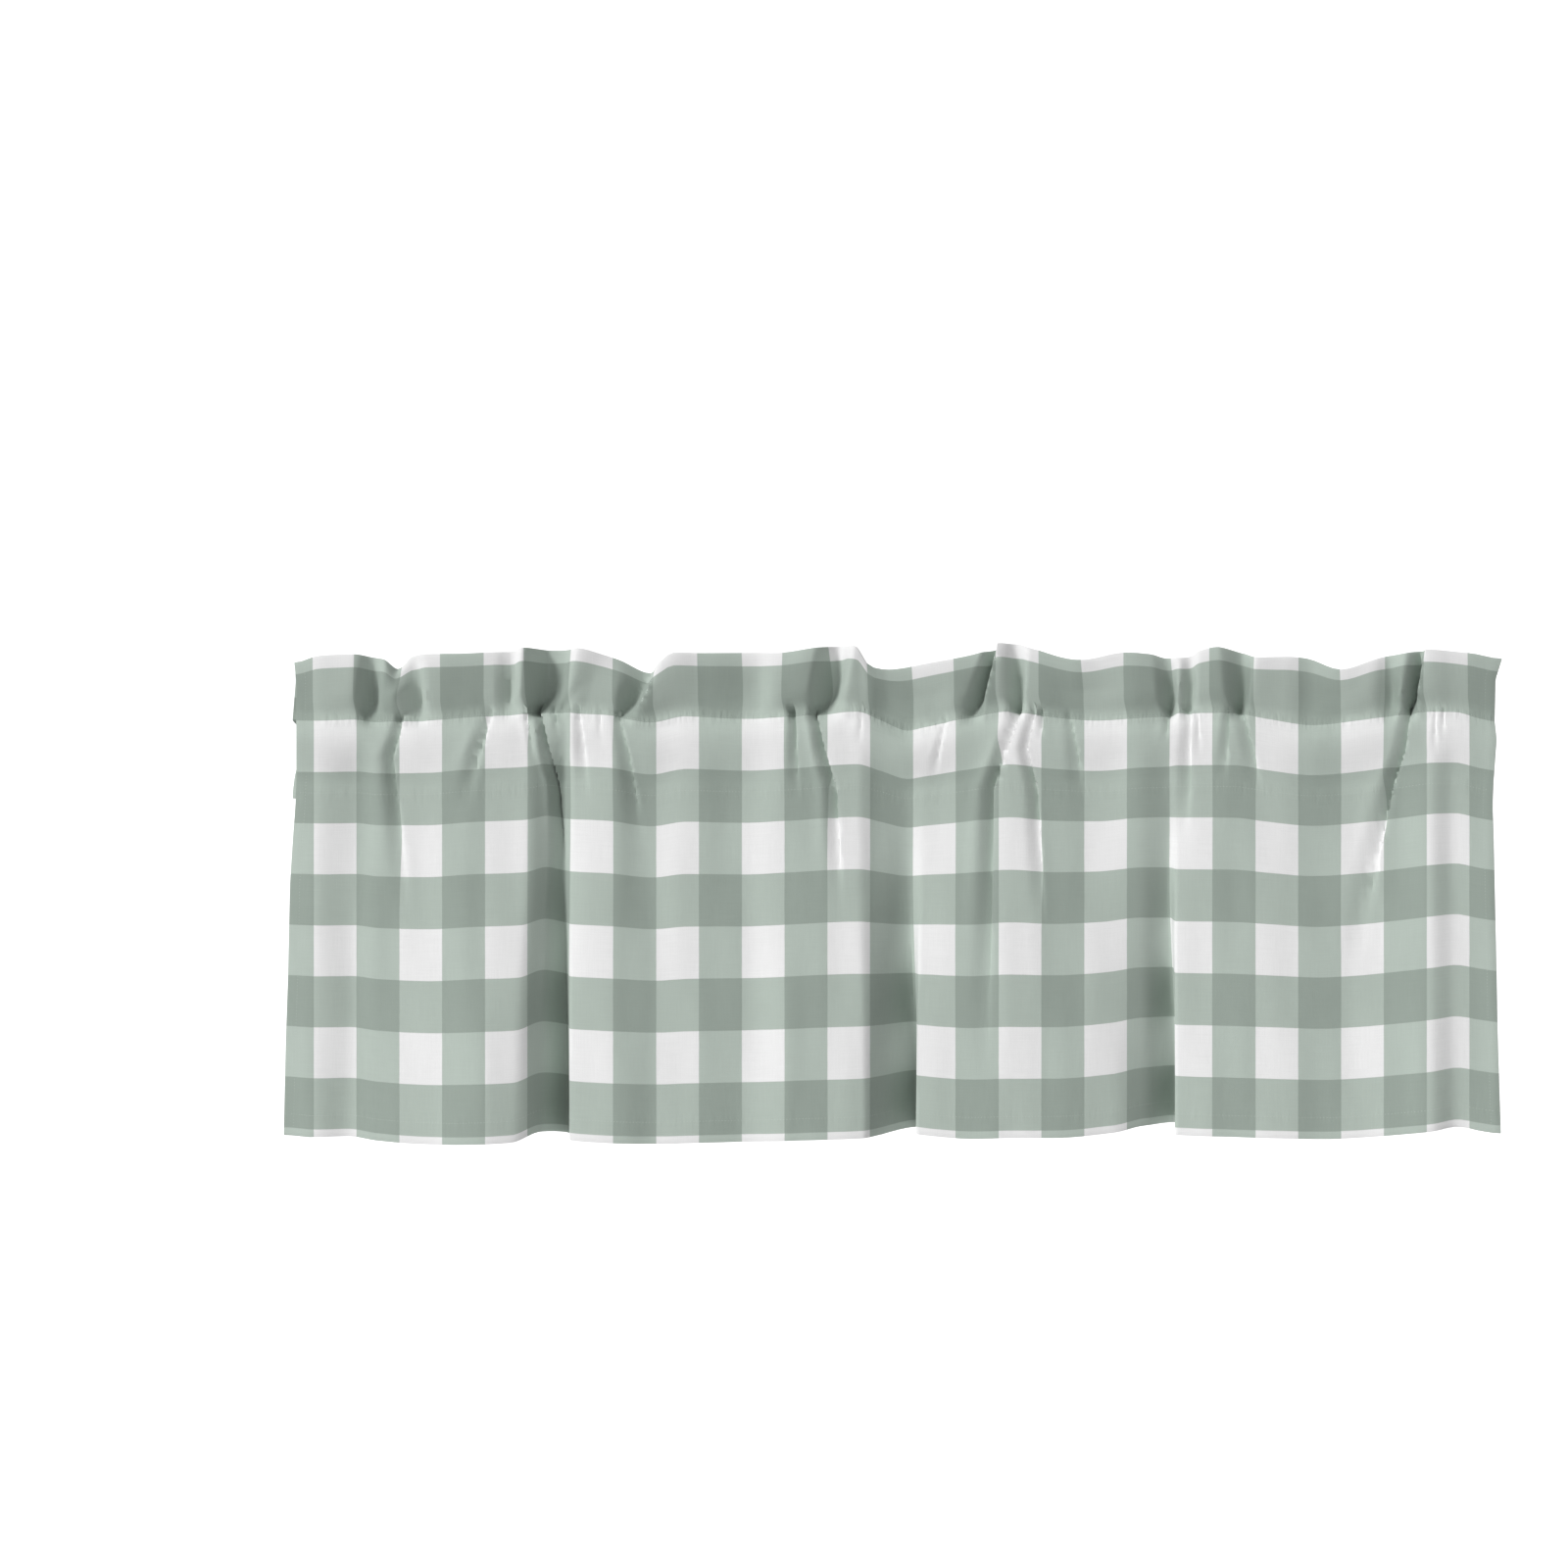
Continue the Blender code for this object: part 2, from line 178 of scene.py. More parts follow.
# The ruffle in mm, one row for each crest or hollow: depth halfway up and at the top edge, and
# the height of the top edge above the upper seam.
RUFFLE = np.array((
    # seam_x, top_x, middle, top, height
    (-571, -574, 0, 0, 49),
    (-546, -548, -4, -4, 55),
    (-515, -514, -8, -6, 56),
    (-500, -499, 8, 4, 54),
    (-486, -486, -5, -2, 51),
    (-474, -478, -7, 6, 44),
    (-453, -461, 8, 2, 55),
    (-443, -446, -5, -5, 56),
    (-424, -424, -4, -5, 56),
    (-381, -381, -3, -2, 58),
    (-370, -366, 5, 2, 59),
    (-354, -351, -9, -10, 61),
    (-340, -334, 15, 11, 62),
    (-326, -314, 6, 5, 62),
    (-309, -298, -7, -8, 61),
    (-292, -278, -2, -3, 56),
    (-268, -262, -3, 0, 51),
    (-259, -236, 10, 8, 40),
    (-247, -222, -8, -6, 48),
    (-225, -207, -8, -8, 57),
    (-184, -184, -2, -4, 57),
    (-129, -132, 3, 0, 58),
    (-114, -110, -6, -4, 57),
    (-82, -72, -9, -8, 61),
    (-65, -55, 13, 9, 65),
    (-43, -30, -9, -12, 62),
    (-24, -18, -5, -6, 44),
    (-5, -4, 2, -2, 42),
    (37, 32, 0, -4, 47),
    (64, 87, -5, -6, 57),
    (78, 97, 11, 9, 62),
    (89, 104, -8, -7, 66),
    (108, 108, -7, -6, 66),
    (120, 117, 10, 2, 66),
    (130, 136, -7, -6, 61),
    (183, 183, -2, -8, 50),
    (245, 228, -8, -8, 57),
    (258, 250, -7, -4, 56),
    (268, 262, 9, 3, 53),
    (276, 278, -4, -2, 53),
    (283, 285, 5, 0, 54),
    (296, 298, -6, -6, 59),
    (322, 316, -8, -8, 62),
    (333, 334, 9, 5, 58),
    (344, 352, -5, -4, 53),
    (384, 384, -2, -1, 54),
    (396, 396, 4, 2, 53),
    (428, 432, -1, -3, 42),
    (462, 462, -5, -2, 51),
    (479, 474, 5, 3, 55),
    (489, 496, -6, -5, 57),
    (497, 506, 13, 6, 60),
    (505, 515, -8, -6, 60),
    (545, 555, -4, -4, 57),
    (578, 585, 0, 0, 52),
)) * MM

# Small creases that run up into the ruffle from the stitches and die out, in mm.
PINCHES = (
    # seam_x, end_x, reach, half_width, depth
    (-474, -462, 16, 3, 3),
    (-341, -337, 22, 3.5, 6),
    (-325, -323, 12, 3, 3),
    (-318, -290, 38, 4, 4),
    (-110, -113, 10, 3, 2.5),
    (-96, -97, 15, 3, 6),
    (-74, -68, 20, 4, 5),
    (44, 42, 8, 3, 2),
    (119, 117, 24, 3.5, 6),
    (142, 146, 10, 3, 4),
    (268, 262, 26, 3.5, 6),
    (283, 281, 18, 4, 4),
    (333, 334, 22, 3.5, 6),
    (497, 495, 18, 2.5, 7),
)

# Where the two sides hang, in mm.
SIDES = np.array((
    # down, left, right, left side of the turned cloth
    (-60, -574, 585, -574),
    (-40, -572, 579, -573),
    (0, -572, 578, -576),
    (20, -572, 580, -577),
    (60, -572, 577, -576),
    (85, -573, 576, -576),
    (110, -575, 577, -576),
    (157, -578, 578, -578),
    (250, -580, 580, -580),
    (308, -582, 581, -582),
    (400, -584, 584, -584),
)) * MM
LEFT = -0.572            # the sides' plain places, from which the table moves them
RIGHT = 0.578
SIDE_GIVE = 0.06         # how far in from a side the table has a hold

DRAWN = (
    # down, how tight the stitches are drawn
    (0.0, 1.0),
    (POCKET, 0.35),
    (DROP - BOTTOM_HEM, 0.3),
)
DRAWN_REACH = 0.006

# Rows of the mesh on the front and on the turned cloth, closer at the seams and the edges.
HEM_TURN_IN = 0.002      # cloth of the bottom hem past its stitches
FRONT_ROWS = (
    # down from, down to, rows
    (DROP, 0.374, 6),
    (0.374, 0.080, 30),
    (0.080, 0.060, 7),
    (0.060, 0.004, 19),
    (0.004, -0.004, 5),
    (-0.004, -RUFFLE_CLOTH, 18),
)
BACK_ROWS = (
    # down from, down to, rows
    (-RUFFLE_CLOTH, 0.0, 14),
    (0.0, POCKET, 20),
    (POCKET, POCKET + ALLOWANCE, 2),
)
ROUND_AN_EDGE = (0.25, 0.50, 0.75)   # rows or columns round a folded edge, in half turns
COLUMNS = 358
HEM_COLUMNS = 4
CROWD_AT_PLEAT = (2.0, 0.008)        # how many more columns there, and how far to either side
CROWD_AT_STEEP = (2.4, 0.010)
CROWD_AT_RUFFLE = (0.6, 0.012)
DEEP_RUFFLE = 0.0079     # a ruffle's crest or hollow this deep needs them
MOST_CROWDED = 3.4       # columns are packed up to this many times as close as elsewhere
PROBE = 0.0003           # step for measuring the cloth's slope
TURNED = 3.0             # a row turned by more than this, in radians, is on the back


def mix(a, b, t):
    return a + (b - a) * t


def ease(t):
    """From 0 to 1 with a level start and end."""
    t = np.clip(t, 0.0, 1.0)
    return t * t * (3.0 - 2.0 * t)


def fold_line(places, values, x):
    """A fold line read at x: level at each crest and floor, and running on smoothly through the
    places between them."""
    step = np.diff(places)
    rise = np.diff(values) / step
    onward = rise[:-1] * rise[1:] > 0.0
    slope = np.zeros_like(values)
    slope[1:-1][onward] = (2.0 * rise[:-1] * rise[1:])[onward] / (rise[:-1] + rise[1:])[onward]
    k = np.clip(np.searchsorted(places, x) - 1, 0, len(places) - 2)
    t = np.clip((x - places[k]) / step[k], 0.0, 1.0)
    lift = step[k] * t * (1.0 - t) * (slope[k] * (1.0 - t) - slope[k + 1] * t)
    return mix(values[k], values[k + 1], ease(t)) + lift


def softer_min(a, b, soft):
    """The lower of two, rounded over where they meet."""
    h = np.clip(0.5 + 0.5 * (b - a) / soft, 0.0, 1.0)
    return mix(b, a, h) - soft * h * (1.0 - h)


def lean_at(down):
    """0 down to the lower seam and 1 at the bottom edge."""
    return float(ease((down - POCKET) / (DROP - POCKET)))


def folds_at(x, down):
    """Depth of the folds at the upper seam and in this row, and how far the cloth sags."""
    lean = lean_at(down)
    fall = math.sin(0.5 * math.pi * down / DROP)
    places = mix(FOLDS[:, 0], FOLDS[:, 1], lean)
    seam_depth = fold_line(places, FOLDS[:, 2], x)
    depth = fold_line(places, mix(FOLDS[:, 2], FOLDS[:, 3], lean), x)
    sag = fold_line(places, mix(FOLDS[:, 4], FOLDS[:, 5], fall), x)
    return seam_depth, depth, sag


def steep_sides():
    """Middle of each steep side of a valley, at the upper seam and at the bottom edge."""
    middles = []
    for left, right in zip(FOLDS, FOLDS[1:]):
        if abs(right[3] - left[3]) > STEEP_SIDE * (right[1] - left[1]):
            middles.append((0.5 * (left[0] + right[0]), 0.5 * (left[1] + right[1])))
    return middles


def overlap_at(x, lean):
    """1 at the valleys whose right side folds over them, falling to 0 either side."""
    total = np.zeros_like(x)
    for at_seam, at_hem in steep_sides():
        total += np.exp(-((x - mix(at_seam, at_hem, lean)) / OVERLAP_REACH) ** 2)
    return total * min(OVERLAP_START * lean, 1.0)


def pleats_at(x, down):
    """Extra depth of the pinched pleats, steeper on their right, with a shoulder on their left."""
    total = np.zeros_like(x)
    for seam_x, middle_x, low_x, end_x, length, half_width, seam_depth, depth in PLEATS:
        along = down / (length * MM)
        if along >= 1.0:
            continue
        # A pleat that ends in the pocket never comes to its last places.
        stations = (0.0, 0.5 * POCKET, POCKET, max(length * MM, POCKET + 10.0 * MM))
        centre = np.interp(down, stations, (seam_x, middle_x, low_x, end_x)) * MM
        width = half_width * MM * mix(*PLEAT_SPREAD, along)
        strength = mix(seam_depth, depth, ease(down / PLEAT_START)) * MM
        strength *= 1.0 - ease(1.5 * along - 0.5)    # it fades over its last two thirds
        off = (x - centre) / width - LATE
        off = off * mix(1.0, STEEP, ease(0.5 + off))
        shoulder = SHOULDER * np.exp(-(off / SHOULDER_WIDTH) ** 2)
        shoulder = shoulder * (1.0 - ease(off / SHOULDER_END))
        total += strength * (np.exp(-off ** 2) - shoulder)
    return total


def pinches_at(x, up_length):
    """Extra depth of the small creases above the upper seam."""
    total = np.zeros_like(x)
    for seam_x, end_x, reach, half_width, depth in PINCHES:
        along = up_length / (reach * MM)
        if along >= 1.0:
            continue
        centre = mix(seam_x, end_x, along) * MM
        off = (x - centre) / (half_width * MM * mix(*PINCH_SPREAD, along))
        total += depth * MM * (1.0 - ease(along)) * np.exp(-off ** 2)
    return total


def ruffle_at(x, up):
    """Depth of the ruffle, up being 0 at the upper seam and 1 at the top edge, and its height."""
    top_share = max(2.0 * up - 1.0, 0.0)
    places = mix(RUFFLE[:, 0], RUFFLE[:, 1], up)
    depth = fold_line(places, mix(RUFFLE[:, 2], RUFFLE[:, 3], top_share), x)
    height = fold_line(RUFFLE[:, 1], RUFFLE[:, 4], x)
    return depth, height


def uneven(x, down):
    """Low unevenness of cotton that has been folded and has hung for a while."""
    waves = (
        # wavelength along x, wavelength down, phase, height in mm
        (0.071, 0.31, 1.1, 0.30),
        (0.043, -0.23, 2.3, 0.22),
        (0.24, 0.085, 0.4, 0.16),
        (0.029, 0.60, 4.0, 0.14),
        (0.11, -0.12, 5.2, 0.25),
    )
    total = np.zeros_like(x)
    for across, along, phase, height in waves:
        total += height * MM * np.sin(2.0 * math.pi * (x / across + down / along) + phase)
    return total


def rod_half_width(z):
    """Half width of the round-ended way for the rod at this height, below zero beyond its ends."""
    off = np.maximum(np.maximum(z, -ROD_SLACK - z), 0.0)
    beyond = np.maximum(off - ROD_ROOM, 0.0)
    return np.sqrt(np.maximum(ROD_ROOM ** 2 - off ** 2, 0.0)) - 2.0 * beyond


def face(x, down):
    """Points of the cloth's front face. down is below zero in the ruffle."""
    seam_depth, depth, sag = folds_at(x, max(down, 0.0))
    at_seam = TOP_SEAM + SEAM_FOLLOW * seam_depth
    if down < 0.0:
        up = -down / RUFFLE_CLOTH
        ruffle, height = ruffle_at(x, up)
        hold = mix(SEAM_HOLD, 1.0, ease(FREE_UP * up))
        pleats = pleats_at(x, 0.0)
        y = at_seam - RUFFLE_LEAN * ease(up) + ruffle * hold + pinches_at(x, -down)
        y += RUFFLE_DIP * (up / DIP_UP) * math.exp(1.0 - up / DIP_UP)
        y += pleats * (1.0 - ease(-down / PLEAT_ABOVE))
        tucked = np.maximum(pleats, 0.0) * (1.0 - ease(-down / TUCK_ABOVE))
        tucked += RUFFLE_TUCK * ruffle * ease(TUCK_UP * up)
        z = UPPER_SEAM + mix(-sag, height, up)
    elif down < POCKET:
        ruffle = ruffle_at(x, 0.0)[0]
        at_seam = at_seam + SEAM_HOLD * ruffle * (1.0 - ease(down / HOLD_BELOW))
        at_seam = at_seam + pinches_at(x, 0.0) * (1.0 - ease(down / PINCH_BELOW))
        fullness = POCKET_SWELL + POCKET_FULLNESS * np.maximum(CREST_LIMIT - seam_depth, 0.0)
        at_rod = -(ROD_ROOM + CLEAR) - fullness
        z = UPPER_SEAM - sag - down
        if down < ROD_REACH:
            y = mix(at_seam, at_rod, math.sin(0.5 * math.pi * down / ROD_REACH))
        else:
            flat = ease((down - ROD_REACH) / (ROD_PASSED - ROD_REACH))
            y = mix(at_rod, LOW_SEAM + seam_depth, flat)
        tucked = pleats_at(x, down)
        y = y + tucked
    else:
        tucked = pleats_at(x, down)
        y = LOW_SEAM + depth + tucked
        z = UPPER_SEAM - sag - down
    y = y + uneven(x, down)
    if down < POCKET:
        y = softer_min(y, -rod_half_width(z) - CLEAR, ROD_SOFT)
    aside = TUCK * tucked + OVERLAP * overlap_at(x, lean_at(down)) * y
    return np.stack((x * (1.0 + SPLAY * y) + aside, y, z), axis=-1)


def unit(vectors):
    return vectors / np.linalg.norm(vectors, axis=-1, keepdims=True)


def behind_rod(x, place, hem, down):
    """The same points, with the turned strip swelling round the back of the rod."""
    swell = math.sin(math.pi * (down / POCKET) ** SWELL_HIGH) ** SWELL_POINT
    ripple = BACK_RIPPLE * np.sin(x / RIPPLE_WAVE + DRIFT * np.sin(x / RIPPLE_DRIFT))
    fullest = ROD_ROOM + CLEAR + BACK_SWELL * (1.0 + np.sin(x / BACK_WAVE)) + ripple
    untucked = x * (1.0 + SPLAY * place[:, 1])
    place[:, 0] = mix(place[:, 0], untucked, min(2.0 * swell, 1.0))
    y = mix(place[:, 1], fullest - hem * LAYERS, swell)
    place[:, 1] = np.maximum(y, rod_half_width(place[:, 2]) - hem * LAYERS)
    return place


def cloth_points(x, hem, down, turn):
    """Outer face of the cloth along one row, and its outward direction.

    hem is 0 on the cloth itself and 1 on the side hem folded behind it. turn is 0 on the front
    and pi on what is turned over to the back at the top or the bottom.
    """
    place = face(x, down)
    across = face(x + PROBE, down) - face(x - PROBE, down)
    along = face(x, down + PROBE) - face(x, down - PROBE)
    behind = unit(np.cross(across, along))
    from_side = np.minimum(x - LEFT, RIGHT - x)
    middle = 0.5 * (LAYERS + HEM_STEP * (1.0 - ease((from_side - SIDE_HEM) / HEM_FADE)))
    offset = middle - (middle - hem * LAYERS) * math.cos(turn)
    edge = (middle - hem * LAYERS) * math.sin(turn)
    direction = unit(along) * (1.0 if down > 0.0 else -1.0)
    place = place + behind * offset[:, None] + direction * edge[:, None]
    if turn > TURNED and 0.0 < down < POCKET:
        place = behind_rod(x, place, hem, down)
    return place, behind * (1.0 if turn > 0.5 * math.pi else -1.0)


def steps(start, end, number):
    return list(np.linspace(start, end, number, endpoint=False))


def cloth_columns():
    """Nominal x and hem of each column, the columns being denser where the cloth is pinched."""
    fine = np.linspace(LEFT, RIGHT, 4001)
    crowded = [(place * MM, *CROWD_AT_PLEAT) for row in PLEATS for place in (row[0], row[2])]
    crowded += [(at_hem, *CROWD_AT_STEEP) for at_seam, at_hem in steep_sides()]
    crowded += [(row[0], *CROWD_AT_RUFFLE) for row in RUFFLE if abs(row[2]) > DEEP_RUFFLE]
    weight = np.ones_like(fine)
    for place, extra, reach in crowded:
        weight += extra * np.exp(-((fine - place) / reach) ** 2)
    weight = np.minimum(weight, MOST_CROWDED)
    run = np.concatenate(([0.0], np.cumsum(0.5 * (weight[1:] + weight[:-1]))))
    x = np.interp(np.linspace(0.0, run[-1], COLUMNS + 1), run, fine)
    bend = 0.5 * LAYERS
    inner = np.array(steps(SIDE_HEM, 0.0, HEM_COLUMNS))
    turned = np.array(ROUND_AN_EDGE[::-1]) * math.pi
    hem = np.concatenate((np.ones(HEM_COLUMNS), 0.5 - 0.5 * np.cos(turned)))
    left = np.concatenate((LEFT + inner, LEFT - bend * np.sin(turned)))
    right = np.concatenate((RIGHT - inner, RIGHT + bend * np.sin(turned)))
    return (np.concatenate((left, x, right[::-1])),
            np.concatenate((hem, np.zeros_like(x), hem[::-1])))


def cloth_rows():
    """down, turn and distance along the cloth of each row, from the bottom hem's inner edge over
    the front and the top edge to the end of the turned cloth."""
    rows = [(down, math.pi, 2.0 * DROP - down)
            for down in steps(DROP - BOTTOM_HEM - HEM_TURN_IN, DROP, 5)]
    rows += [(DROP, turn * math.pi, DROP) for turn in ROUND_AN_EDGE[::-1]]
    rows += [(down, 0.0, down) for stretch in FRONT_ROWS for down in steps(*stretch)]
    rows += [(-RUFFLE_CLOTH, turn * math.pi, -RUFFLE_CLOTH) for turn in (0.0, *ROUND_AN_EDGE)]
    back = [down for stretch in BACK_ROWS for down in steps(*stretch)] + [POCKET + ALLOWANCE]
    rows += [(down, math.pi, -2.0 * RUFFLE_CLOTH - down) for down in back]
    return rows


def side_places(down, turned):
    """Where the left and right sides of the cloth hang in one row."""
    left = np.interp(down, SIDES[:, 0], SIDES[:, 3 if turned else 1])
    return left, np.interp(down, SIDES[:, 0], SIDES[:, 2])


def woven_sheet(name, points, uvs, creased):
    """A sheet from rows of points, with its UV map in metres of cloth."""
    rows, columns = points.shape[:2]
    corner = np.arange(rows * columns).reshape(rows, columns)
    quads = np.stack((corner[:-1, :-1], corner[1:, :-1], corner[1:, 1:], corner[:-1, 1:]),
                     axis=-1).reshape(-1, 4)
    mesh = bpy.data.meshes.new(name)
    mesh.from_pydata(points.reshape(-1, 3).tolist(), [], quads[:, ::-1].tolist())
    layer = mesh.uv_layers.new(name="cloth")
    of_corner = np.empty(len(mesh.loops), dtype=np.int32)
    mesh.loops.foreach_get("vertex_index", of_corner)
    layer.data.foreach_set("uv", uvs.reshape(-1, 2)[of_corner].ravel())
    pucker = mesh.attributes.new("pucker", "FLOAT", "POINT")
    pucker.data.foreach_set("value", creased.ravel())
    mesh.shade_smooth()
    sheet = bpy.data.objects.new(name, mesh)
    bpy.context.scene.collection.objects.link(sheet)
    return sheet


def make_cloth():
    nominal, hem = cloth_columns()
    hold_left = 1.0 - ease((nominal - LEFT) / SIDE_GIVE)
    hold_right = 1.0 - ease((RIGHT - nominal) / SIDE_GIVE)
    points, uvs, creased = [], [], []
    for down, turn, cloth in cloth_rows():
        left, right = side_places(down, turn > TURNED)
        x = nominal + hold_left * (left - LEFT) + hold_right * (right - RIGHT)
        points.append(cloth_points(x, hem, down, turn)[0])
        uvs.append(np.stack((x, np.full_like(x, cloth)), axis=-1))
        drawn = sum(tight * math.exp(-((down - line) / DRAWN_REACH) ** 2) for line, tight in DRAWN)
        creased.append(np.full_like(x, drawn))
    return woven_sheet("valance_cloth", np.array(points), np.array(uvs), np.array(creased))


def finish_with(piece, kind, **settings):
    """Adds a modifier to the piece and applies it."""
    bpy.ops.object.select_all(action="DESELECT")
    piece.select_set(True)
    bpy.context.view_layer.objects.active = piece
    modifier = piece.modifiers.new(kind.lower(), kind)
    for name, value in settings.items():
        setattr(modifier, name, value)
    bpy.ops.object.modifier_apply(modifier=modifier.name)


SHARP = math.radians(50.0)     # a turn sharper than this is a crease, not a soft fold

valance_cloth = make_cloth()
finish_with(valance_cloth, "SOLIDIFY", thickness=THICK, offset=-1.0, use_rim=True)
valance_cloth.data.set_sharp_from_angle(angle=SHARP)


# The gingham: white and sage warp, and white and sage weft, which cross in three tones besides
# white. Sizes are in metres of the hung cloth, and a noise is so many waves to the metre.
CHECK_ACROSS = 0.0822    # one white and one sage column
CHECK_DOWN = 0.0980      # one white and one sage row
FIRST_COLUMN = -0.55555  # left edge of a white column
FIRST_ROW = 0.0012       # top edge of a white row
CHECK_EDGE = 30.0        # how sharp a check's edge is
BORDER_WIDTH = 16.0      # the larger, the narrower the darker line along a check's edge
BORDER = 0.05            # and how much darker it is
THREAD_PITCH = 0.00045
PAINTED_WEAVE_SHADE = 0.035        # painted light and shade of the weave: how much lighter the tone is where a thread lies over another, and darker where it lies under
SPUN = 0.10              # how uneven in tone the threads are
SPUN_ALONG = 35          # its noise along a thread, and from one thread to the next
SPUN_ACROSS = 1400
STRAY = 0.0006           # how far a thread strays to the side, in all
STRAY_ALONG = 60         # its noise in the same two directions
STRAY_ACROSS = 2200
CLOUDY = 0.05            # how uneven in tone the whole cloth is
CLOUDS = 14              # its noise, the same in both directions
PUCKER_DEPTH = 0.0022    # puckers at the stitches, which run down the cloth
PUCKER_ACROSS = 210
PUCKER_DOWN = 40
CREASE_DEPTH = 0.0006    # soft creases left from folding
CREASE_ACROSS = 55
CREASE_DOWN = 30
THREAD_DEPTH = 0.00006   # how far a thread stands out
WHITE = (0.88, 0.88, 0.88, 1.0)
LIGHT_SAGE = (0.482, 0.552, 0.500, 1.0)
CROSS_SAGE = (0.462, 0.530, 0.478, 1.0)
DEEP_SAGE = (0.333, 0.390, 0.347, 1.0)


class Finish:
    """Short calls for the nodes of one material."""

    def __init__(self, piece, name):
        material = bpy.data.materials.new(name)
        material.use_nodes = True
        piece.data.materials.append(material)
        self.tree = material.node_tree
        self.shader = self.tree.nodes["Principled BSDF"]

    def put(self, socket, value):
        if isinstance(value, bpy.types.NodeSocket):
            self.tree.links.new(value, socket)
        else:
            socket.default_value = value

    def math(self, operation, *values, clamp=False):
        node = self.tree.nodes.new("ShaderNodeMath")
        node.operation = operation
        node.use_clamp = clamp
        for socket, value in zip(node.inputs, values):
            self.put(socket, value)
        return node.outputs[0]

    def blend(self, share, a, b, how="MIX"):
        """Colour a gone over to b by the share. The numbered sockets are the mix's colour ones."""
        node = self.tree.nodes.new("ShaderNodeMix")
        node.data_type = "RGBA"
        node.blend_type = how
        self.put(node.inputs["Factor"], share)
        self.put(node.inputs[6], a)
        self.put(node.inputs[7], b)
        return node.outputs[2]

    def noise(self, across, down, scale_across, scale_down, detail=2.0):
        """Noise on the cloth's own metres, stretched as threads are."""
        place = self.tree.nodes.new("ShaderNodeCombineXYZ")
        self.put(place.inputs[0], self.math("MULTIPLY", across, scale_across))
        self.put(place.inputs[1], self.math("MULTIPLY", down, scale_down))
        node = self.tree.nodes.new("ShaderNodeTexNoise")
        node.inputs["Scale"].default_value = 1.0
        node.inputs["Detail"].default_value = detail
        self.put(node.inputs["Vector"], place.outputs[0])
        return node.outputs[0]

    def bump(self, height, distance, strength, below=None):
        node = self.tree.nodes.new("ShaderNodeBump")
        node.inputs["Distance"].default_value = distance
        node.inputs["Strength"].default_value = strength
        self.put(node.inputs["Height"], height)
        if below is not None:
            self.put(node.inputs["Normal"], below)
        return node.outputs[0]


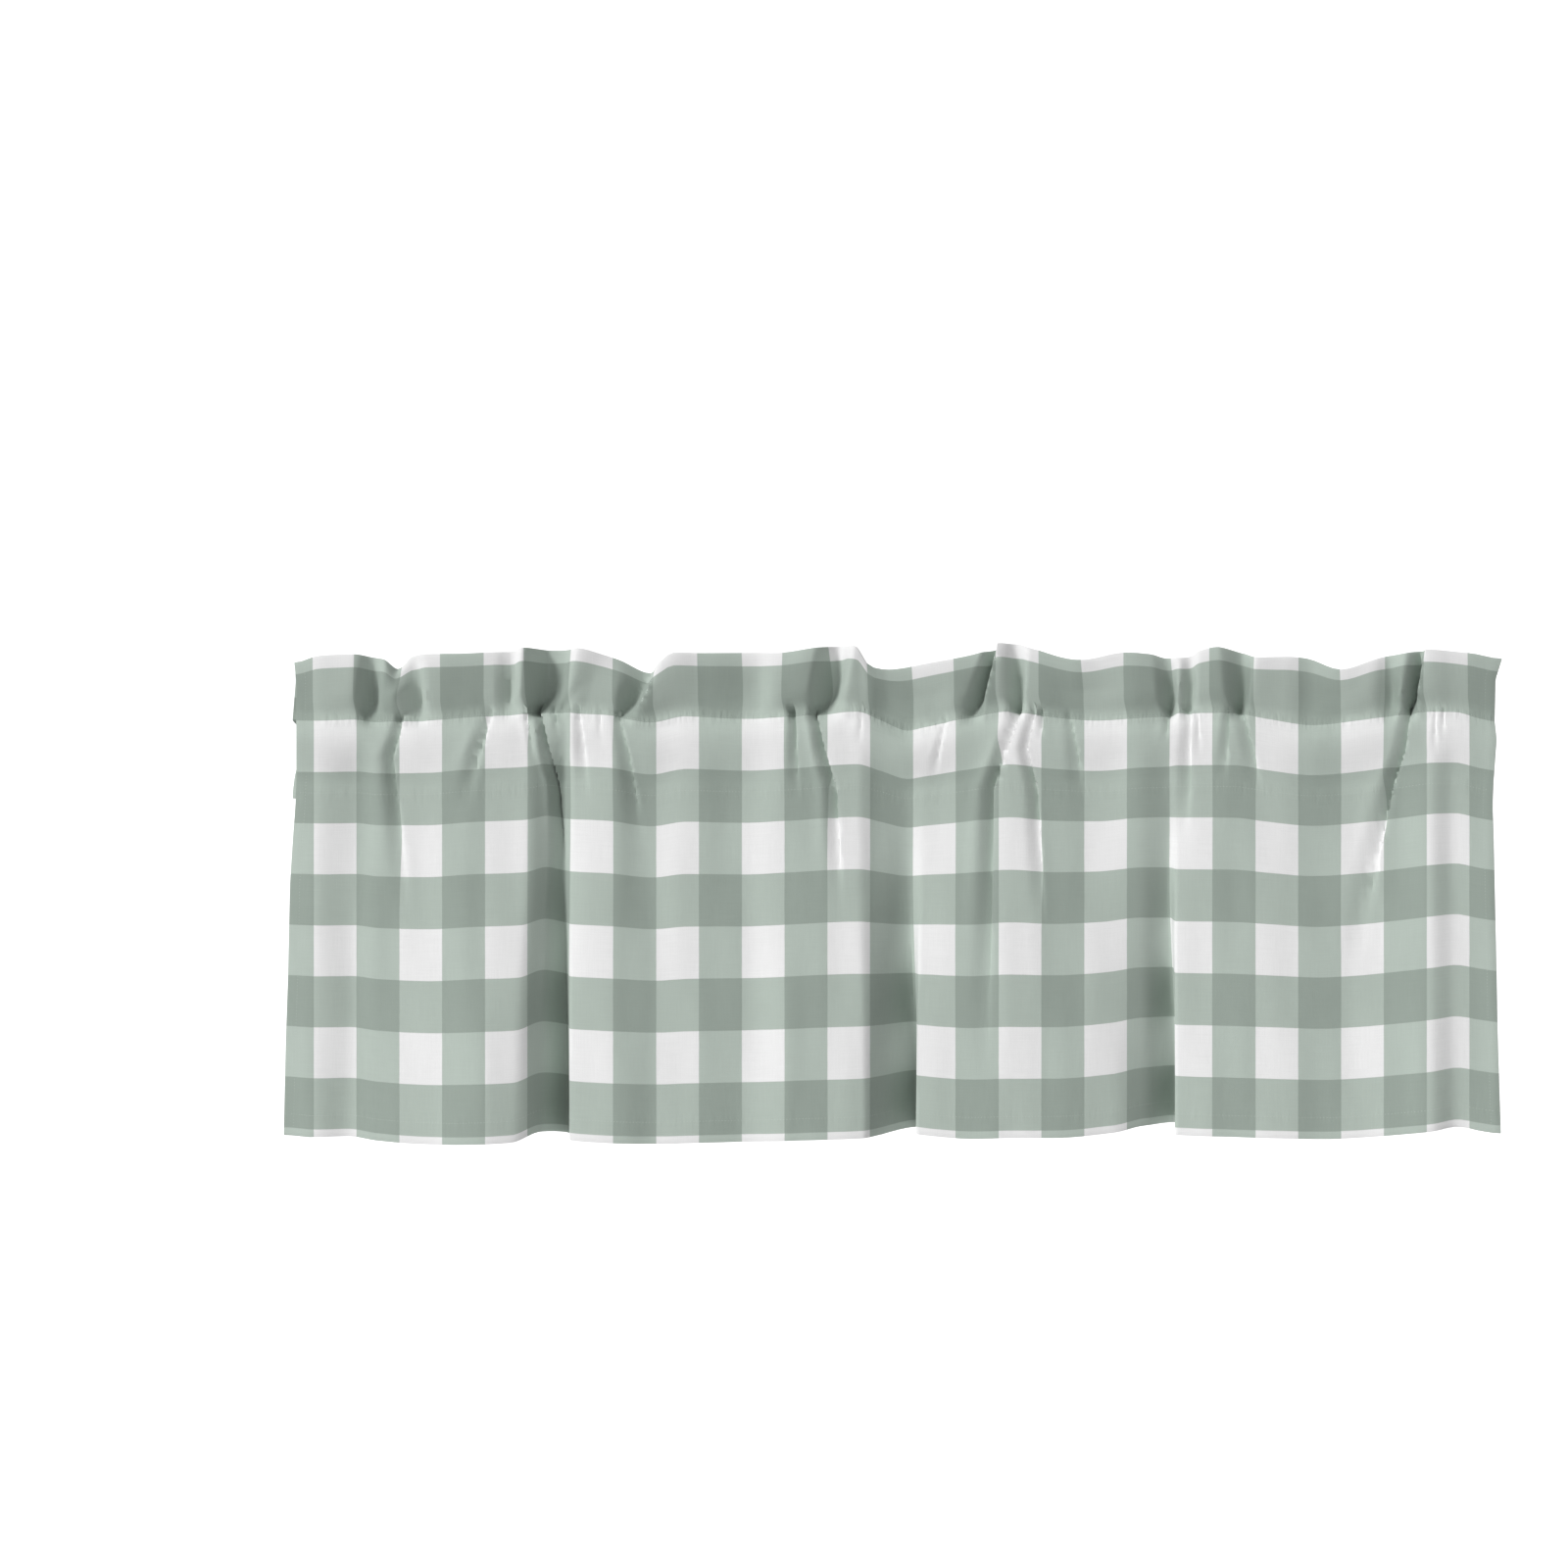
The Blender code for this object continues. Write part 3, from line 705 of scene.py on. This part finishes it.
def gingham(piece):
    weave = Finish(piece, "sage_gingham")
    cloth = weave.tree.nodes.new("ShaderNodeUVMap")
    cloth.uv_map = "cloth"
    parts = weave.tree.nodes.new("ShaderNodeSeparateXYZ")
    weave.put(parts.inputs[0], cloth.outputs[0])
    across, down = parts.outputs[0], parts.outputs[1]

    def either_way(noise, spread):
        """Noise from 0 to 1 made into half the spread to either side of 0."""
        return weave.math("MULTIPLY_ADD", noise, spread, -0.5 * spread)

    # A thread strays a little to either side along its length.
    stray_across = either_way(weave.noise(across, down, STRAY_ACROSS, STRAY_ALONG), STRAY)
    stray_down = either_way(weave.noise(across, down, STRAY_ALONG, STRAY_ACROSS), STRAY)

    def stripe(place, stray, start, period):
        """1 on the sage half of each period, and 1 on the line between the halves."""
        turn = 2.0 * math.pi / period
        angle = weave.math("MULTIPLY_ADD", weave.math("ADD", place, stray), turn, -turn * start)
        wave = weave.math("SINE", angle)
        sage = weave.math("MULTIPLY_ADD", wave, -CHECK_EDGE, 0.5, clamp=True)
        from_edge = weave.math("ABSOLUTE", wave)
        border = weave.math("MULTIPLY_ADD", from_edge, -BORDER_WIDTH, 1.0, clamp=True)
        return sage, border

    sage_column, column_border = stripe(across, stray_across, FIRST_COLUMN, CHECK_ACROSS)
    sage_row, row_border = stripe(down, stray_down, FIRST_ROW, CHECK_DOWN)
    in_white_row = weave.blend(sage_column, WHITE, LIGHT_SAGE)
    in_sage_row = weave.blend(sage_column, CROSS_SAGE, DEEP_SAGE)
    colour = weave.blend(sage_row, in_white_row, in_sage_row)

    # Over and under of a plain weave, painted into the tone as light on the raised threads and
    # shade on the sunk ones, and threads spun a little uneven.
    pitch = math.pi / THREAD_PITCH
    over = weave.math("MULTIPLY", weave.math("SINE", weave.math("MULTIPLY", across, pitch)),
                      weave.math("SINE", weave.math("MULTIPLY", down, pitch)))
    warp = weave.noise(across, down, SPUN_ACROSS, SPUN_ALONG)
    weft = weave.noise(across, down, SPUN_ALONG, SPUN_ACROSS)
    cloud = weave.noise(across, down, CLOUDS, CLOUDS)
    # painted light and shade: the tone is lighter where the weave stands up and darker where it
    # sinks
    tone = weave.math("MULTIPLY_ADD", over, PAINTED_WEAVE_SHADE, 1.0)
    tone = weave.math("ADD", tone, either_way(warp, SPUN))
    tone = weave.math("ADD", tone, either_way(weft, SPUN))
    tone = weave.math("ADD", tone, either_way(cloud, CLOUDY))
    borders = weave.math("MAXIMUM", column_border, row_border)
    tone = weave.math("SUBTRACT", tone, weave.math("MULTIPLY", borders, BORDER))
    grey = weave.tree.nodes.new("ShaderNodeCombineColor")
    for socket in grey.inputs:
        weave.put(socket, tone)
    woven = weave.blend(1.0, colour, grey.outputs[0], "MULTIPLY")
    weave.put(weave.shader.inputs["Base Color"], woven)

    weave.put(weave.shader.inputs["Roughness"], weave.math("MULTIPLY_ADD", warp, 0.1, 0.82))
    weave.shader.inputs["Specular IOR Level"].default_value = 0.25
    weave.shader.inputs["Sheen Weight"].default_value = 0.12
    weave.shader.inputs["Sheen Roughness"].default_value = 0.5

    # The puckers that stitches draw in, the soft creases, and the fine threads over both.
    pucker = weave.tree.nodes.new("ShaderNodeAttribute")
    pucker.attribute_name = "pucker"
    gathers = weave.noise(across, down, PUCKER_ACROSS, PUCKER_DOWN)
    gathers = weave.math("MULTIPLY", gathers, pucker.outputs["Fac"])
    creases = weave.noise(across, down, CREASE_ACROSS, CREASE_DOWN, detail=4.0)
    threads = weave.math("ADD", over, weave.math("ADD", warp, weft))
    relief = weave.bump(gathers, PUCKER_DEPTH, 0.8)
    relief = weave.bump(creases, CREASE_DEPTH, 0.5, relief)
    relief = weave.bump(threads, THREAD_DEPTH, 0.5, relief)
    weave.put(weave.shader.inputs["Normal"], relief)


gingham(valance_cloth)
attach(valance_cloth, "root")
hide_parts("valance_panel", "pocket_strip")


# ---- The stitching ---------------------------------------------------------------------------
# Lockstitch in fine sage cotton thread along both lines of the rod's pocket, the side hems and
# the bottom hem. It shows on both faces, as short stitches pulled a little into the cloth.

STITCH = 0.0024          # one stitch
STITCH_STEP = 0.0030     # from one to the next
THREAD = 0.00016         # the thread's radius
SINK = 0.00016           # how far a stitch's ends dive into the cloth
TAPER = 0.6              # how thick they are, of the thread
ENDS = 0.3               # they start this far from its middle, of its length
LIFT = 0.6               # how high the thread lies on the cloth, in its own radius
HEM_LINE = 0.009         # stitches of the side hems, in from the side
HEM_LINE_TOP = -0.056    # their upper end on the front, measured down from the upper seam
HEM_LINE_BELOW = 0.008   # and on the hem's own side, below the lower seam
LINE_END = 0.003         # how far they stop short of the bottom edge or its hem's stitches
LINE_INSET = 0.002       # how far a line across the cloth stops short of each side
LINE_POINTS = 1500       # points that a line across is measured by, and one at a side
SIDE_POINTS = 200


def one_stitch():
    """A short length of thread, fuller in the middle, whose ends dive into the cloth."""
    bpy.ops.object.select_all(action="DESELECT")
    bpy.ops.mesh.primitive_cylinder_add(vertices=5, radius=THREAD, depth=STITCH,
                                        end_fill_type="NGON", rotation=(0.0, math.pi / 2, 0.0))
    stitch = bpy.context.object
    bpy.ops.object.transform_apply(location=True, rotation=True, scale=True)
    bpy.ops.object.mode_set(mode="EDIT")
    for place in (-ENDS * STITCH, ENDS * STITCH):
        bpy.ops.mesh.select_all(action="SELECT")
        bpy.ops.mesh.bisect(plane_co=(place, 0.0, 0.0), plane_no=(1.0, 0.0, 0.0))
    bpy.ops.object.mode_set(mode="OBJECT")
    for vertex in stitch.data.vertices:
        vertex.select = abs(vertex.co.x) > 0.4 * STITCH
    bpy.ops.object.mode_set(mode="EDIT")
    bpy.ops.mesh.select_mode(type="VERT")
    bpy.ops.transform.resize(value=(1.0, TAPER, TAPER))
    bpy.ops.transform.translate(value=(0.0, 0.0, -SINK - THREAD))
    bpy.ops.object.mode_set(mode="OBJECT")
    return stitch


def stitched(points, outward):
    """Middle, direction and outward direction of each stitch along a line of close points."""
    length = np.concatenate(([0.0], np.cumsum(np.linalg.norm(np.diff(points, axis=0), axis=1))))
    middles = np.arange(STITCH_STEP, length[-1] - STITCH_STEP, STITCH_STEP)

    def along(distance, values):
        return np.stack([np.interp(distance, length, values[:, k]) for k in range(3)], axis=-1)

    run = unit(along(middles + 0.5 * STITCH, points) - along(middles - 0.5 * STITCH, points))
    return along(middles, points), run, unit(along(middles, outward))


def across_line(down, turn):
    """Stitches along the whole width, on the front, or on the back where turn is pi."""
    left, right = side_places(down, turn > 0.0)
    x = np.linspace(left + LINE_INSET, right - LINE_INSET, LINE_POINTS)
    return stitched(*cloth_points(x, np.zeros_like(x), down, turn))


def side_line(right_side, hem, start, end):
    """Stitches of a side hem, on the front, or on the hem's own side where hem is 1."""
    points, outward = [], []
    for down in np.linspace(start, end, SIDE_POINTS):
        left, right = side_places(down, False)
        x = np.array([right - HEM_LINE if right_side else left + HEM_LINE])
        place, direction = cloth_points(x, np.array([hem]), down, 0.0)
        points.append(place[0])
        outward.append(direction[0] * (-1.0 if hem else 1.0))
    return stitched(np.array(points), np.array(outward))


def sew(name, lines):
    """One mesh of all the stitches, each a copy of the first."""
    stitch = one_stitch()
    shape = np.array([vertex.co[:] for vertex in stitch.data.vertices])
    faces = [list(polygon.vertices) for polygon in stitch.data.polygons]
    bpy.data.objects.remove(stitch)
    vertices, polygons = [], []
    for middles, runs, outwards in lines:
        for middle, run, outward in zip(middles, runs, outwards):
            side = np.cross(outward, run)
            first = len(vertices)
            turned = np.stack((run, side, outward))
            vertices.extend((middle + outward * LIFT * THREAD + shape @ turned).tolist())
            polygons.extend([[first + k for k in corners] for corners in faces])
    mesh = bpy.data.meshes.new(name)
    mesh.from_pydata(vertices, [], polygons)
    mesh.shade_smooth()
    thread = bpy.data.objects.new(name, mesh)
    bpy.context.scene.collection.objects.link(thread)
    return thread


seam_thread = sew("seam_thread", [
    across_line(0.0, 0.0),
    across_line(0.0, math.pi),
    across_line(POCKET, 0.0),
    across_line(POCKET, math.pi),
    across_line(DROP - BOTTOM_HEM, 0.0),
    across_line(DROP - BOTTOM_HEM, math.pi),
    side_line(False, 0.0, HEM_LINE_TOP, DROP - LINE_END),
    side_line(True, 0.0, HEM_LINE_TOP, DROP - LINE_END),
    side_line(False, 1.0, POCKET + HEM_LINE_BELOW, DROP - BOTTOM_HEM - LINE_END),
    side_line(True, 1.0, POCKET + HEM_LINE_BELOW, DROP - BOTTOM_HEM - LINE_END),
])


def spun_cotton(piece):
    spun = Finish(piece, "sage_thread")
    place = spun.tree.nodes.new("ShaderNodeTexCoord")
    twist = spun.tree.nodes.new("ShaderNodeTexNoise")
    twist.inputs["Scale"].default_value = 900.0
    spun.put(twist.inputs["Vector"], place.outputs["Object"])
    colour = spun.blend(twist.outputs[0], (0.50, 0.56, 0.51, 1.0), (0.66, 0.71, 0.67, 1.0))
    spun.put(spun.shader.inputs["Base Color"], colour)
    spun.shader.inputs["Roughness"].default_value = 0.7
    spun.put(spun.shader.inputs["Normal"], spun.bump(twist.outputs[0], 0.0001, 0.4))


spun_cotton(seam_thread)
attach(seam_thread, "root")


# ---- The studio ------------------------------------------------------------------------------
# A pale floor well below the valance, a pale backdrop behind it, a white surround, and one broad
# soft light from the front left. Neither plane catches the valance's shadow where it shows.

STUDIO_SIZE = 20.0
FLOOR_PLACE = (0.0, 0.0, -2.6)
FLOOR_PALE = (0.75, 0.75, 0.75, 1.0)
FLOOR_GLOW = 0.03
WALL_PLACE = (0.0, 4.0, 0.0)
WALL_PALE = (0.90, 0.90, 0.90, 1.0)
WALL_GLOW = 0.45


def studio_plane(name, location, rotation, colour, glow):
    bpy.ops.object.select_all(action="DESELECT")
    bpy.ops.mesh.primitive_plane_add(size=STUDIO_SIZE, location=location, rotation=rotation)
    plane = bpy.context.object
    plane.name = name
    bpy.ops.object.transform_apply(location=True, rotation=True, scale=True)
    paint = Finish(plane, name)
    paint.shader.inputs["Base Color"].default_value = colour
    paint.shader.inputs["Roughness"].default_value = 1.0
    paint.shader.inputs["Specular IOR Level"].default_value = 0.0
    paint.shader.inputs["Emission Color"].default_value = (1.0, 1.0, 1.0, 1.0)
    paint.shader.inputs["Emission Strength"].default_value = glow
    return plane


floor = studio_plane("studio_floor", FLOOR_PLACE, (0.0, 0.0, 0.0), FLOOR_PALE, FLOOR_GLOW)
backdrop = studio_plane("studio_backdrop", WALL_PLACE, (math.pi / 2, 0.0, 0.0), WALL_PALE,
                        WALL_GLOW)

world = bpy.data.worlds.new("surround")
world.use_nodes = True
world.node_tree.nodes["Background"].inputs["Color"].default_value = (1.0, 1.0, 1.0, 1.0)
world.node_tree.nodes["Background"].inputs["Strength"].default_value = 0.28
bpy.context.scene.world = world

key_data = bpy.data.lights.new("key", "SUN")
key_data.angle = math.radians(14.0)
key_data.energy = 2.42
key = bpy.data.objects.new("key", key_data)
key.location = (-2.5, -2.4, 2.0)
key.rotation_euler = (math.radians(60.0), 0.0, math.radians(-47.0))
bpy.context.scene.collection.objects.link(key)

camera_data = bpy.data.cameras.new("camera")
camera_data.lens = 35.87
camera_data.sensor_width = 36.0
camera_data.shift_x = -0.0691
camera_data.shift_y = 0.08125
camera = bpy.data.objects.new("camera", camera_data)
camera.location = (0.0, -1.5, -0.1634)
camera.rotation_euler = (math.pi / 2, 0.0, 0.0)
bpy.context.scene.collection.objects.link(camera)
bpy.context.scene.camera = camera
bpy.context.scene.view_settings.view_transform = "Standard"
